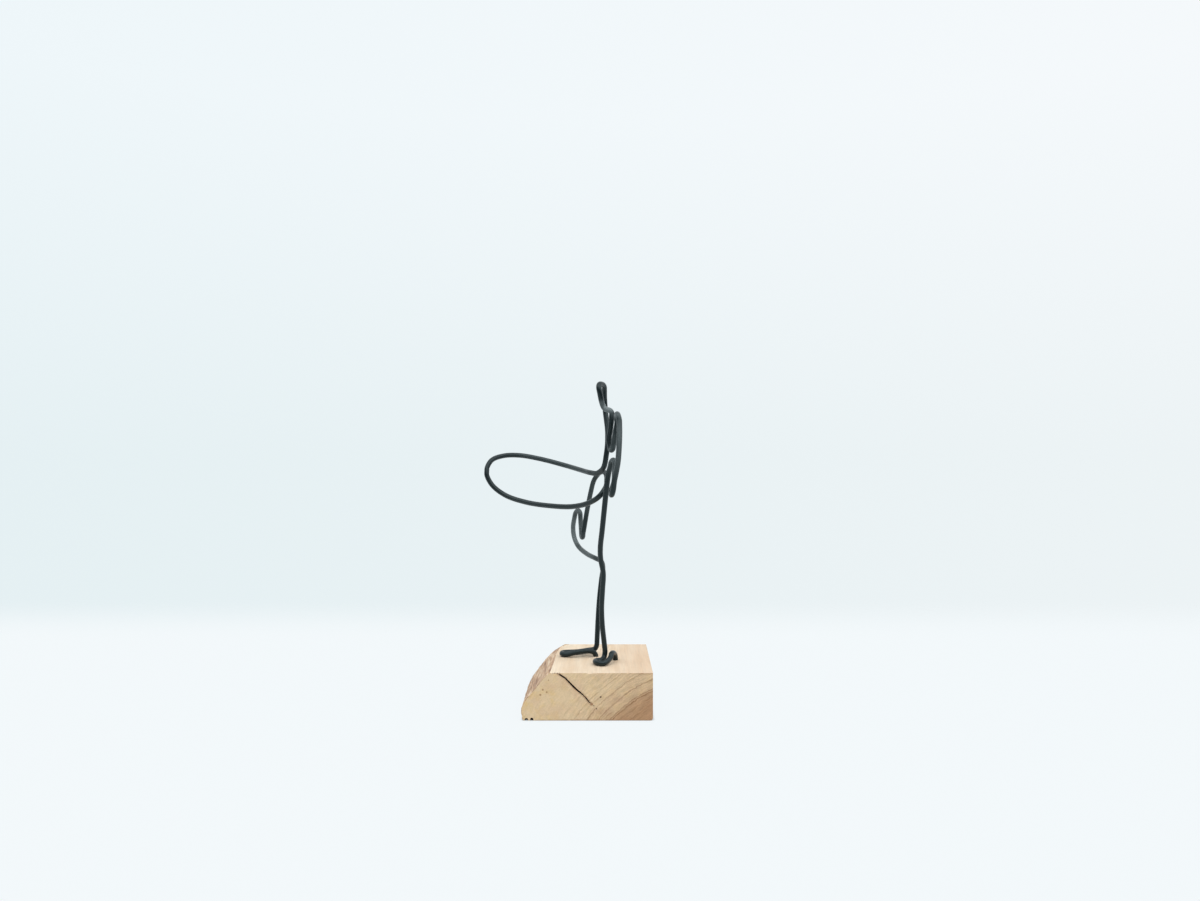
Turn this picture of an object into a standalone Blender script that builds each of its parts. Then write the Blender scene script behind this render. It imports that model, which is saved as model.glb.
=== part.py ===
# A standing figure drawn with one long black wire, both of its ends let into a block of wood.
# Metres, +Z up. The origin is the middle of the block's underside, and the figure faces -X.

import bpy
import bmesh
from math import atan2, cos, hypot, pi, sin
from mathutils import Matrix, Vector

MM = 0.001

# Driving dimensions
WIRE_GAUGE = 2.85 * MM
WIRE_STEP = 0.4              # distance between the wire's stations, as a share of the bend's radius
WIRE_STEP_SHORTEST = 1.0 * MM
WIRE_STEP_LONGEST = 6.0 * MM
FIT_GAP = 0.3 * MM           # air kept between the wire and the wood
BLOCK_WIDTH = 67.2 * MM      # across the underside, along X
BLOCK_DEPTH = 68.0 * MM      # along Y
BLOCK_HEIGHT = 24.3 * MM
SOCKET_DEPTH = 8.0 * MM
FOOT_EDGE_ROUND = 1.6 * MM   # rounding of the long lower edge at +X
ARRIS_ROUND = 0.5 * MM       # rounding of the sawn upper edges at +X and at the back

# The waney side leans in over the block: height above the table, and how far the face stands in there
# from half the block's width. It bulges out a little above the table.
WANEY_SIDE = ((0.0, 0.6), (1.2, -0.1), (4.1, -0.7), (6.6, -0.4), (8.7, 0.75), (13.6, 4.45), (16.6, 7.2),
              (20.6, 10.0), (22.5, 11.9), (24.3, 14.0))
WANEY_STATIONS = 9
TAPER = 2.8 * MM             # how far its upper edge draws in from the front to the back
TAPER_HEIGHT = 18.0 * MM     # where that begins
BACK_TURN = 2.1 * MM         # how far all of it turns in at the back
BACK_TURN_START = 0.72       # and where that begins, as a share of the depth

# The radial check in the end grain: where it starts, how far it runs and how wide it gapes there.
CHECK_START = (-14.7 * MM, 23.3 * MM)
CHECK_END = (2.6 * MM, 8.0 * MM)
CHECK_WIDTHS = (0.9 * MM, 0.3 * MM)
CHECK_DEPTH = 12.0 * MM
CHECK_MOUTH = 1.85           # share of the width on the near side of the front face
CHECK_TOE = 0.15             # and at the blade's inner edge
CHECK_WANDER = 0.25 * MM
WANDER_ANGLE = 9.0           # radians of wander along the check's run


def turn(start, end, reach):
    """Five points round a half ellipse from start to end, whose far side is the middle plus reach."""
    start, end, reach = Vector(start), Vector(end), Vector(reach)
    middle = (start + end) / 2
    return [middle + (start - middle) * cos(angle) + reach * sin(angle)
            for angle in (step * pi / 4 for step in range(5))]


# The wire's way through the figure, in millimetres: x (backwards), y (away from the near side), z (up).
NEAR_FOOT = [(14.8, -5.0, 16.6), (14.8, -5.0, 20.6),
             *turn((14.8, -5.0, 24.7), (12.0, -14.2, 27.6), (0.2, 0.4, 2.8)),
             *turn((8.5, -19.3, 25.85), (7.1, -11.9, 25.8), (-3.9, -0.6, 0.0)), (8.5, -9.8, 26.7)]
NEAR_LEG = [(9.1, -9.1, 29.2), (8.6, -9.4, 35.0), (7.65, -11.0, 44.1), (7.25, -13.4, 54.0),
            (7.7, -16.3, 63.8), (8.1, -19.4, 73.5), (6.7, -22.6, 81.8), (6.6, -25.6, 88.0),
            (7.5, -30.0, 97.0), (8.6, -34.2, 108.2), (9.6, -36.6, 118.0), (10.75, -38.2, 126.8)]
NEAR_FOREARM = [*turn((11.7, -39.8, 130.4), (14.0, -44.4, 130.5), (0.2, 0.0, 2.95)), (13.7, -45.6, 126.6),
                (13.4, -46.8, 122.6)]
NEAR_ARM = [*turn((12.3, -47.8, 118.8), (12.9, -52.9, 119.0), (-0.5, 0.0, -2.6)), (13.45, -53.4, 123.4),
            (14.2, -53.2, 127.0), (15.2, -52.4, 132.6), (15.75, -51.0, 139.0), (16.1, -48.4, 147.0)]
NEAR_SHOULDER = turn((16.1, -45.0, 152.9), (15.1, -36.6, 152.6), (-0.6, 0.0, 3.95))
ARMPIT = [(14.25, -37.1, 147.2), *turn((13.2, -38.0, 140.9), (11.4, -33.8, 140.9), (-0.05, 0.0, -2.4)),
          (11.0, -33.4, 144.0), (11.9, -32.4, 150.2)]
COLLAR = [(12.45, -31.6, 156.0), (12.35, -30.9, 158.0), (11.4, -30.3, 159.1), (10.0, -29.8, 159.5),
          (8.75, -29.4, 160.15)]
HEAD = [(7.95, -29.3, 161.5), (7.05, -29.8, 164.4), (6.4, -30.2, 167.6), (5.8, -30.0, 170.8),
        (5.95, -28.9, 172.4), (6.8, -27.2, 173.0), (7.85, -25.2, 172.8), (8.6, -23.4, 171.8),
        (8.7, -21.9, 169.8), (8.75, -20.6, 166.6), (8.95, -20.1, 163.0)]
CHEST = [(9.25, -20.4, 159.0), (9.8, -21.9, 154.5), (10.35, -24.0, 149.4), (10.45, -25.6, 145.6),
         (10.3, -27.0, 141.2), (9.6, -27.7, 135.6), (8.6, -26.2, 130.2)]
REACH_OUT = [(5.9, -17.8, 126.85), (1.1, 3.2, 126.2), (-5.6, 17.6, 127.75), (-14.0, 27.6, 130.0),
             (-28.7, 31.6, 133.75), (-41.0, 30.6, 135.85), (-50.2, 26.6, 135.5), (-56.4, 20.6, 132.6)]
REACH_BACK = [(-58.55, 17.4, 126.2), (-55.6, 16.6, 119.45), (-48.0, 14.2, 113.55), (-35.2, 6.4, 109.7),
              (-20.0, -4.0, 108.15), (-8.0, -15.6, 108.55), (1.0, -26.0, 111.25), (6.3, -31.6, 115.0)]
HIPS = [(9.2, -29.8, 119.0), (10.0, -20.4, 122.6), (9.75, -4.0, 125.5), (8.0, 12.0, 126.55),
        (5.5, 22.4, 125.15)]
FAR_HAND = [(2.8, 26.8, 121.2), (0.78, 28.6, 113.5), (-1.32, 30.6, 102.9), (-2.9, 32.0, 93.4),
            *turn((-3.55, 32.4, 89.8), (-4.7, 36.8, 89.8), (0.0, 0.0, -2.5))]
FAR_LEG = [*turn((-5.3, 39.2, 98.2), (-9.15, 46.2, 97.8), (0.4, 0.0, 4.8)), (-9.9, 46.6, 92.6),
           (-9.25, 44.6, 86.8), (-6.65, 39.6, 81.7), (-1.2, 29.4, 78.15), (4.2, 19.4, 76.6),
           (7.2, 14.6, 75.5), (8.05, 12.4, 72.2), (7.2, 10.0, 66.0), (6.0, 8.0, 55.0), (5.2, 6.9, 43.0),
           (4.75, 6.4, 33.0)]
FAR_FOOT = [(4.5, 6.4, 29.6), (3.45, 6.4, 27.7), (-0.5, 6.5, 26.9), (-6.6, 6.6, 26.0),
            *turn((-12.1, 6.4, 25.82), (-12.1, 0.9, 25.85), (-2.7, 0.0, 0.0)), (-7.2, 1.0, 26.9),
            (-2.4, 1.2, 27.5), (0.4, 1.7, 27.5), (2.4, 2.5, 26.95), (3.7, 3.1, 25.6), (4.1, 3.3, 24.0),
            (4.1, 3.3, 22.0), (4.1, 3.3, 16.6)]
ROUTE = [Vector(point) * MM for point in (
    NEAR_FOOT + NEAR_LEG + NEAR_FOREARM + NEAR_ARM + NEAR_SHOULDER + ARMPIT + COLLAR + HEAD + CHEST
    + REACH_OUT + REACH_BACK + HIPS + FAR_HAND + FAR_LEG + FAR_FOOT)]


def clear_scene():
    for thing in list(bpy.data.objects):
        bpy.data.objects.remove(thing, do_unlink=True)


def new_collection(name):
    collection = bpy.data.collections.new(name)
    bpy.context.scene.collection.children.link(collection)
    return collection


def new_material(name, color, roughness, metallic):
    material = bpy.data.materials.new(name)
    material.use_nodes = True
    shader = material.node_tree.nodes["Principled BSDF"]
    shader.inputs["Base Color"].default_value = (*color, 1.0)
    shader.inputs["Roughness"].default_value = roughness
    shader.inputs["Metallic"].default_value = metallic
    return material


def between(a, b, share):
    return a + (b - a) * share


def spline_point(p0, p1, p2, p3, share):
    """Point at share (0 to 1) of the span p1-p2 on a centripetal Catmull-Rom curve."""
    knots = [0.0]
    for a, b in ((p0, p1), (p1, p2), (p2, p3)):
        knots.append(knots[-1] + max((b - a).length, 1e-9) ** 0.5)
    t0, t1, t2, t3 = knots
    t = between(t1, t2, share)
    a1 = between(p0, p1, (t - t0) / (t1 - t0))
    a2 = between(p1, p2, (t - t1) / (t2 - t1))
    a3 = between(p2, p3, (t - t2) / (t3 - t2))
    b1 = between(a1, a2, (t - t0) / (t2 - t0))
    b2 = between(a2, a3, (t - t1) / (t3 - t1))
    return between(b1, b2, (t - t1) / (t2 - t1))


def smooth_path(route, steps=24):
    """Dense points along the smooth curve through the route's own points."""
    ends = [route[0] * 2 - route[1], *route, route[-1] * 2 - route[-2]]
    path = []
    for index in range(len(route) - 1):
        span = ends[index:index + 4]
        path += [spline_point(*span, step / steps) for step in range(steps)]
    return path + [route[-1]]


def bend_radius(path, index, reach=6):
    before = path[max(index - reach, 0)]
    here = path[index]
    after = path[min(index + reach, len(path) - 1)]
    bend = (here - before).angle(after - here, 0.0)
    return (after - before).length / 2 / max(bend, 1e-6)


def stations(path):
    """Points along the path: close together in a tight bend and far apart on a straight."""
    chosen = [path[0]]
    gone = 0.0
    for index in range(1, len(path)):
        gone += (path[index] - path[index - 1]).length
        step = bend_radius(path, index) * WIRE_STEP
        if gone >= min(max(step, WIRE_STEP_SHORTEST), WIRE_STEP_LONGEST):
            chosen.append(path[index])
            gone = 0.0
    if gone < WIRE_STEP_SHORTEST:
        chosen.pop()
    return [*chosen, path[-1]]


def wire_figure(collection, material):
    """One round wire bent through the whole route, with flat ends inside the wood."""
    points = stations(smooth_path(ROUTE))
    curve = bpy.data.curves.new("wire_figure", "CURVE")
    curve.dimensions = "3D"
    curve.twist_mode = "MINIMUM"
    curve.bevel_depth = WIRE_GAUGE / 2
    curve.bevel_resolution = 2
    curve.use_fill_caps = True
    spline = curve.splines.new("POLY")
    spline.points.add(len(points) - 1)
    for knot, point in zip(spline.points, points):
        knot.co = (*point, 1.0)
    spline.use_smooth = True
    curve.materials.append(material)
    wire = bpy.data.objects.new("wire_figure", curve)
    collection.objects.link(wire)
    return wire


def cut_across(shape, place, normal):
    """Cuts every face that the plane meets, and keeps both sides."""
    whole = [*shape.verts, *shape.edges, *shape.faces]
    bmesh.ops.bisect_plane(shape, geom=whole, plane_co=place, plane_no=normal)


def waney_inset(height, depth_share):
    """How far the waney face stands in at a height, drawing in towards the back."""
    for (low, low_inset), (high, high_inset) in zip(WANEY_SIDE, WANEY_SIDE[1:]):
        if height <= high * MM + 1e-7:
            share = (height / MM - low) / (high - low)
            inset = between(low_inset, high_inset, share) * MM
            break
    raised = max((height - TAPER_HEIGHT) / (BLOCK_HEIGHT - TAPER_HEIGHT), 0.0)
    far = max((depth_share - BACK_TURN_START) / (1 - BACK_TURN_START), 0.0)
    return inset + TAPER * depth_share * raised ** 1.5 + BACK_TURN * far ** 1.5


def block_body(collection, material):
    """The sawn block, with its left side cut into a net and pushed in to the waney outline."""
    shape = bmesh.new()
    bmesh.ops.create_cube(shape, size=1.0)
    size = Matrix.Diagonal((BLOCK_WIDTH, BLOCK_DEPTH, BLOCK_HEIGHT, 1.0))
    middle = Matrix.Translation((0.0, 0.0, BLOCK_HEIGHT / 2))
    bmesh.ops.transform(shape, matrix=middle @ size, verts=shape.verts)
    half_width = BLOCK_WIDTH / 2
    half_depth = BLOCK_DEPTH / 2
    low_edge = [edge for edge in shape.edges
                if all(vert.co.x > 0 and vert.co.z < 1e-6 for vert in edge.verts)]
    bmesh.ops.bevel(shape, geom=low_edge, offset=FOOT_EDGE_ROUND, segments=4, profile=0.5, affect="EDGES")
    arrises = [edge for edge in shape.edges
               if all(vert.co.z > BLOCK_HEIGHT - 1e-6 for vert in edge.verts)
               and (all(vert.co.x > 0 for vert in edge.verts) or all(vert.co.y > 0 for vert in edge.verts))]
    bmesh.ops.bevel(shape, geom=arrises, offset=ARRIS_ROUND, segments=1, affect="EDGES")
    for height, _ in WANEY_SIDE[1:-1]:
        cut_across(shape, (0, 0, height * MM), (0, 0, 1))
    for station in range(1, WANEY_STATIONS):
        y = between(-half_depth, half_depth, station / WANEY_STATIONS)
        cut_across(shape, (0, y, 0), (0, 1, 0))
    for vert in shape.verts:
        if vert.co.x < -half_width + 1e-6:
            vert.co.x += waney_inset(vert.co.z, vert.co.y / BLOCK_DEPTH + 0.5)
    bmesh.ops.recalc_face_normals(shape, faces=shape.faces)
    mesh = bpy.data.meshes.new("wooden_base")
    shape.to_mesh(mesh)
    shape.free()
    mesh.materials.append(material)
    block = bpy.data.objects.new("wooden_base", mesh)
    collection.objects.link(block)
    return block


def add_cutter(collection, name, shape):
    bmesh.ops.recalc_face_normals(shape, faces=shape.faces)
    mesh = bpy.data.meshes.new(name)
    shape.to_mesh(mesh)
    shape.free()
    cutter = bpy.data.objects.new(name, mesh)
    cutter.hide_render = True
    cutter.display_type = "WIRE"
    collection.objects.link(cutter)
    return cutter


def socket_cutter(collection, name, end):
    """A round hole for one end of the wire, a little wider than the wire."""
    shape = bmesh.new()
    radius = WIRE_GAUGE / 2 + FIT_GAP
    depth = SOCKET_DEPTH + FIT_GAP
    bmesh.ops.create_cone(shape, cap_ends=True, segments=16, radius1=radius, radius2=radius, depth=2 * depth)
    place = Matrix.Translation((end.x, end.y, BLOCK_HEIGHT))
    bmesh.ops.transform(shape, matrix=place, verts=shape.verts)
    return add_cutter(collection, name, shape)


def check_cutter(collection):
    """A thin blade that opens at the front face, narrows along its run and closes with depth."""
    run = hypot(CHECK_END[0] - CHECK_START[0], CHECK_END[1] - CHECK_START[1])
    lean = atan2(CHECK_END[1] - CHECK_START[1], CHECK_END[0] - CHECK_START[0])
    shape = bmesh.new()
    bmesh.ops.create_cube(shape, size=1.0)
    bmesh.ops.transform(shape, matrix=Matrix.Diagonal((run, 2 * CHECK_DEPTH, 1.0, 1.0)), verts=shape.verts)
    for share in (0.2, 0.4, 0.6, 0.8):
        cut_across(shape, ((share - 0.5) * run, 0, 0), (1, 0, 0))
    for vert in shape.verts:
        share = vert.co.x / run + 0.5
        width = between(*CHECK_WIDTHS, share) * (CHECK_TOE if vert.co.y > 0 else CHECK_MOUTH)
        vert.co.z = width * vert.co.z + CHECK_WANDER * sin(WANDER_ANGLE * share)
    place = Matrix.Translation(((CHECK_START[0] + CHECK_END[0]) / 2, -BLOCK_DEPTH / 2,
                                (CHECK_START[1] + CHECK_END[1]) / 2))
    bmesh.ops.transform(shape, matrix=place @ Matrix.Rotation(-lean, 4, "Y"), verts=shape.verts)
    return add_cutter(collection, "check_cutter", shape)


def wooden_base(collection, cutters, material):
    """The block with a socket for each end of the wire and an open check in its front face."""
    block = block_body(collection, material)
    tools = [socket_cutter(cutters, "near_socket_cutter", ROUTE[0]),
             socket_cutter(cutters, "far_socket_cutter", ROUTE[-1]),
             check_cutter(cutters)]
    for tool in tools:
        cut = block.modifiers.new(tool.name, "BOOLEAN")
        cut.operation = "DIFFERENCE"
        cut.solver = "EXACT"
        cut.object = tool
    return block


def main():
    clear_scene()
    parts = new_collection("wire_sculpture")
    cutters = new_collection("cutters")
    wire_black = new_material("black_coated_wire", (0.03, 0.035, 0.036), 0.42, 0.0)
    pale_wood = new_material("pale_sawn_wood", (0.62, 0.45, 0.30), 0.65, 0.0)
    wire_figure(parts, wire_black)
    wooden_base(parts, cutters, pale_wood)


main()
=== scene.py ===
from math import cos, hypot, pi, radians, sin

import bpy
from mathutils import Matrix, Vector, kdtree, noise


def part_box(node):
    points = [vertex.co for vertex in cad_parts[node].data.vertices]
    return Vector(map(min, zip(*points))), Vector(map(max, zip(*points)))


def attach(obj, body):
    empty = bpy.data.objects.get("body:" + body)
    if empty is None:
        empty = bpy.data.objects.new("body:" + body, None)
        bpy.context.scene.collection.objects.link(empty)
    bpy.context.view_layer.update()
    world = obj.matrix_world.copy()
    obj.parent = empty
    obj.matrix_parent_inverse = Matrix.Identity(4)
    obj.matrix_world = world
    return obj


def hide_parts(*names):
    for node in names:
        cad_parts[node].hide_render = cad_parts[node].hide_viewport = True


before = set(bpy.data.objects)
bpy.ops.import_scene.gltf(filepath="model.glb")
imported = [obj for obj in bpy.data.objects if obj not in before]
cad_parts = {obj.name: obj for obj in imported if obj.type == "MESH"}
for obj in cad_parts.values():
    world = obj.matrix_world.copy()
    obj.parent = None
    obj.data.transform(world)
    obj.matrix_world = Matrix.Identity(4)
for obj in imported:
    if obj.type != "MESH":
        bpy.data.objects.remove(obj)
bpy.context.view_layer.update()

# A standing figure bent from one black wire, with both ends let into a block of waney-edged wood.
# Lengths are in millimetres, and mm brings them to the scene's metres. The figure faces -X, the near
# side is -Y, and the block stands on z = 0.
mm = 0.001


def makeActive(obj):
    if bpy.context.mode != "OBJECT":
        bpy.ops.object.mode_set(mode="OBJECT")
    bpy.ops.object.select_all(action="DESELECT")
    obj.select_set(True)
    bpy.context.view_layer.objects.active = obj


def deselectAll():
    bpy.ops.object.select_all(action="DESELECT")


def mix(a, b, share):
    return a + (b - a) * share


def ease(low, high, value):
    # 0 below low, 1 above high, with a smooth climb between them
    share = min(max((value - low) / (high - low), 0.0), 1.0)
    return share * share * (3 - 2 * share)


def edgesWhere(obj, test):
    # enters edit mode with only the edges selected whose two ends pass the test
    makeActive(obj)
    bpy.ops.object.mode_set(mode="EDIT")
    bpy.ops.mesh.select_mode(type="EDGE")
    bpy.ops.mesh.select_all(action="DESELECT")
    bpy.ops.object.mode_set(mode="OBJECT")
    points = obj.data.vertices
    for edge in obj.data.edges:
        first, second = (points[index].co for index in edge.vertices)
        edge.select = test(first, second)
    bpy.ops.object.mode_set(mode="EDIT")


def storeFloats(obj, name, values):
    attribute = obj.data.attributes.new(name, "FLOAT", "POINT")
    attribute.data.foreach_set("value", values)


def storeVectors(obj, name, values):
    attribute = obj.data.attributes.new(name, "FLOAT_VECTOR", "POINT")
    attribute.data.foreach_set("vector", [number for vector in values for number in vector])


# The wire
wireFigure = {
    "gauge": 2.84,           # over the coating
    "sides": 24,
    "closest": 0.16,         # distance between rings in the tightest bends
    "widest": 0.5,           # and on the straights
    "ringsPerRadius": 0.13,
    "unevenness": 0.012,     # share of the radius
    "ovalInBends": 0.03,     # how much a tight bend squashes the section
    "flatOutside": 0.02,     # how much its outer side flattens
}


def turn(start, end, reach):
    # five points round a half ellipse, whose far side is the middle plus reach
    start, end, reach = Vector(start), Vector(end), Vector(reach)
    middle = (start + end) / 2
    return [middle + (start - middle) * cos(angle) + reach * sin(angle)
            for angle in (step * pi / 4 for step in range(5))]


nearFoot = [(14.8, -5.0, 16.6), (14.8, -5.0, 20.6),
            *turn((14.8, -5.0, 24.7), (12.0, -14.2, 27.6), (0.2, 0.4, 2.8)),
            *turn((8.5, -19.3, 25.85), (7.1, -11.9, 25.8), (-3.9, -0.6, 0.0)), (8.5, -9.8, 26.7)]
nearLeg = [(9.1, -9.1, 29.2), (8.6, -9.4, 35.0), (7.65, -11.0, 44.1), (7.25, -13.4, 54.0),
           (7.7, -16.3, 63.8), (8.1, -19.4, 73.5), (6.7, -22.6, 81.8), (6.6, -25.6, 88.0),
           (7.5, -30.0, 97.0), (8.6, -34.2, 108.2), (9.6, -36.6, 118.0), (10.75, -38.2, 126.8)]
nearForearm = [*turn((11.7, -39.8, 130.4), (14.0, -44.4, 130.5), (0.2, 0.0, 2.95)), (13.7, -45.6, 126.6),
               (13.4, -46.8, 122.6)]
nearArm = [*turn((12.3, -47.8, 118.8), (12.9, -52.9, 119.0), (-0.5, 0.0, -2.6)), (13.45, -53.4, 123.4),
           (14.2, -53.2, 127.0), (15.2, -52.4, 132.6), (15.75, -51.0, 139.0), (16.1, -48.4, 147.0)]
nearShoulder = turn((16.1, -45.0, 152.9), (15.1, -36.6, 152.6), (-0.6, 0.0, 3.95))
armpit = [(14.25, -37.1, 147.2), *turn((13.2, -38.0, 140.9), (11.4, -33.8, 140.9), (-0.05, 0.0, -2.4)),
          (11.0, -33.4, 144.0), (11.9, -32.4, 150.2)]
collar = [(12.45, -31.6, 156.0), (12.35, -30.9, 158.0), (11.4, -30.3, 159.1), (10.0, -29.8, 159.5),
          (8.75, -29.4, 160.15)]
head = [(7.95, -29.3, 161.5), (7.05, -29.8, 164.4), (6.4, -30.2, 167.6), (5.8, -30.0, 170.8),
        (5.95, -28.9, 172.4), (6.8, -27.2, 173.0), (7.85, -25.2, 172.8), (8.6, -23.4, 171.8),
        (8.7, -21.9, 169.8), (8.75, -20.6, 166.6), (8.95, -20.1, 163.0)]
chest = [(9.25, -20.4, 159.0), (9.8, -21.9, 154.5), (10.35, -24.0, 149.4), (10.45, -25.6, 145.6),
         (10.3, -27.0, 141.2), (9.6, -27.7, 135.6), (8.6, -26.2, 130.2)]
reachOut = [(5.9, -17.8, 126.85), (1.1, 3.2, 126.2), (-5.6, 17.6, 127.75), (-14.0, 27.6, 130.0),
            (-28.7, 31.6, 133.75), (-41.0, 30.6, 135.85), (-50.2, 26.6, 135.5), (-56.4, 20.6, 132.6)]
reachBack = [(-58.55, 17.4, 126.2), (-55.6, 16.6, 119.45), (-48.0, 14.2, 113.55), (-35.2, 6.4, 109.7),
             (-20.0, -4.0, 108.15), (-8.0, -15.6, 108.55), (1.0, -26.0, 111.25), (6.3, -31.6, 115.0)]
hips = [(9.2, -29.8, 119.0), (10.0, -20.4, 122.6), (9.75, -4.0, 125.5), (8.0, 12.0, 126.55),
        (5.5, 22.4, 125.15)]
farHand = [(2.8, 26.8, 121.2), (0.78, 28.6, 113.5), (-1.32, 30.6, 102.9), (-2.9, 32.0, 93.4),
           *turn((-3.55, 32.4, 89.8), (-4.7, 36.8, 89.8), (0.0, 0.0, -2.5))]
farLeg = [*turn((-5.3, 39.2, 98.2), (-9.15, 46.2, 97.8), (0.4, 0.0, 4.8)), (-9.9, 46.6, 92.6),
          (-9.25, 44.6, 86.8), (-6.65, 39.6, 81.7), (-1.2, 29.4, 78.15), (4.2, 19.4, 76.6),
          (7.2, 14.6, 75.5), (8.05, 12.4, 72.2), (7.2, 10.0, 66.0), (6.0, 8.0, 55.0), (5.2, 6.9, 43.0),
          (4.75, 6.4, 33.0)]
farFoot = [(4.5, 6.4, 29.6), (3.45, 6.4, 27.7), (-0.5, 6.5, 26.9), (-6.6, 6.6, 26.0),
           *turn((-12.1, 6.4, 25.82), (-12.1, 0.9, 25.85), (-2.7, 0.0, 0.0)), (-7.2, 1.0, 26.9),
           (-2.4, 1.2, 27.5), (0.4, 1.7, 27.5), (2.4, 2.5, 26.95), (3.7, 3.1, 25.6), (4.1, 3.3, 24.0),
           (4.1, 3.3, 22.0), (4.1, 3.3, 16.6)]
wireRoute = [Vector(point) for point in (
    nearFoot + nearLeg + nearForearm + nearArm + nearShoulder + armpit + collar + head + chest
    + reachOut + reachBack + hips + farHand + farLeg + farFoot)]


def curvePoint(p0, p1, p2, p3, share):
    # a point between p1 and p2 on a centripetal Catmull-Rom curve
    knots = [0.0]
    for a, b in ((p0, p1), (p1, p2), (p2, p3)):
        knots.append(knots[-1] + (b - a).length ** 0.5)
    t0, t1, t2, t3 = knots
    t = mix(t1, t2, share)
    a1 = mix(p0, p1, (t - t0) / (t1 - t0))
    a2 = mix(p1, p2, (t - t1) / (t2 - t1))
    a3 = mix(p2, p3, (t - t2) / (t3 - t2))
    b1 = mix(a1, a2, (t - t0) / (t2 - t0))
    b2 = mix(a2, a3, (t - t1) / (t3 - t1))
    return mix(b1, b2, (t - t1) / (t2 - t1))


def smoothLine(route, steps=40):
    spans = [route[0] * 2 - route[1], *route, route[-1] * 2 - route[-2]]
    line = [curvePoint(*spans[index:index + 4], step / steps)
            for index in range(len(route) - 1) for step in range(steps)]
    return line + [route[-1]]


def ringPlaces(line):
    # points along the line, closer together in the bends
    places = [line[0]]
    gone = 0.0
    reach = 8
    for index in range(1, len(line) - 1):
        gone += (line[index] - line[index - 1]).length
        before = line[index] - line[max(index - reach, 0)]
        after = line[min(index + reach, len(line) - 1)] - line[index]
        bendRadius = (before.length + after.length) / 2 / max(before.angle(after), 1e-6)
        step = bendRadius * wireFigure["ringsPerRadius"]
        if gone >= min(max(step, wireFigure["closest"]), wireFigure["widest"]):
            places.append(line[index])
            gone = 0.0
    return places + [line[-1]]


def lineFrames(places):
    # for each place: arc length, direction, an untwisted side vector, and the bend towards its inside
    frames = []
    along = 0.0
    side = Vector((1.0, 0.0, 0.0))
    last = len(places) - 1
    for index, place in enumerate(places):
        back, ahead = places[max(index - 1, 0)], places[min(index + 1, last)]
        direction = (ahead - back).normalized()
        side = (side - direction * side.dot(direction)).normalized()
        bend = Vector((0.0, 0.0, 0.0))
        if 0 < index < last:
            along += (place - back).length
            swing = (ahead - place).normalized() - (place - back).normalized()
            bend = swing / (ahead - back).length * 2
        frames.append((along, direction, side, bend))
    return frames


# where the coating is painted grey, partly handling wear and partly painted highlight on strands that face
# the light: place, reach, strength
wearAndHighlightPlaces = [((16.2, -51.0, 138.0), 20.0, 0.20), ((15.6, -42.0, 157.5), 6.5, 0.30),
              ((10.8, -30.0, 160.5), 4.6, 0.80), ((7.7, -29.6, 162.5), 3.2, 0.35),
              ((-8.0, 43.0, 101.5), 9.0, 0.24), ((-8.8, 43.8, 90.0), 14.0, 0.50),
              ((-1.5, 30.0, 78.5), 14.0, 0.30), ((-22.0, 30.5, 131.0), 30.0, 0.12),
              ((13.5, -48.0, 131.0), 5.5, 0.25), ((0.5, 29.0, 112.0), 14.0, 0.14),
              ((-32.0, 4.0, 109.5), 26.0, 0.06)]
# where it went dull, and where it stayed glossy
dullPlaces = [((4.0, -10.0, 126.6), 20.0, 0.9), ((-3.0, 4.0, 26.5), 18.0, 0.4)]
glossyPlaces = [((7.2, -26.0, 169.0), 8.0, 0.8)]


def bendWire():
    # the line keeps clear of the figure's outermost planes by the wire's own radius
    low, high = (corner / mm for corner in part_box("wire_figure"))
    room = wireFigure["gauge"] / 2 * 1.02
    places = [Vector(min(max(value, least + room), most - room) if axis < 2 or value > 100 else value
                     for axis, (value, least, most) in enumerate(zip(place, low, high)))
              for place in ringPlaces(smoothLine(wireRoute))]
    deselectAll()
    bpy.ops.curve.primitive_bezier_curve_add()
    wire = bpy.context.object
    wire.name = wire.data.name = "bentWire"
    shape = wire.data
    shape.splines.clear()
    spline = shape.splines.new("POLY")
    spline.points.add(len(places) - 1)
    for knot, place in zip(spline.points, places):
        knot.co = (*(place * mm), 1.0)
    shape.dimensions = "3D"
    shape.twist_mode = "MINIMUM"
    shape.bevel_depth = wireFigure["gauge"] / 2 * mm
    shape.bevel_resolution = wireFigure["sides"] // 2 - 2
    shape.use_fill_caps = True
    makeActive(wire)
    bpy.ops.object.convert(target="MESH")
    wire = bpy.context.object
    bpy.ops.object.mode_set(mode="EDIT")
    bpy.ops.mesh.select_all(action="SELECT")
    bpy.ops.mesh.remove_doubles(threshold=0.000005)
    bpy.ops.mesh.normals_make_consistent(inside=False)
    bpy.ops.object.mode_set(mode="OBJECT")
    return wire, places


def patchShare(place, patches):
    # the strongest patch at a place, each one fading out from its middle
    return max(share * (1 - ease(0.4 * reach, reach, (place - Vector(middle)).length))
               for middle, reach, share in patches)


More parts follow.
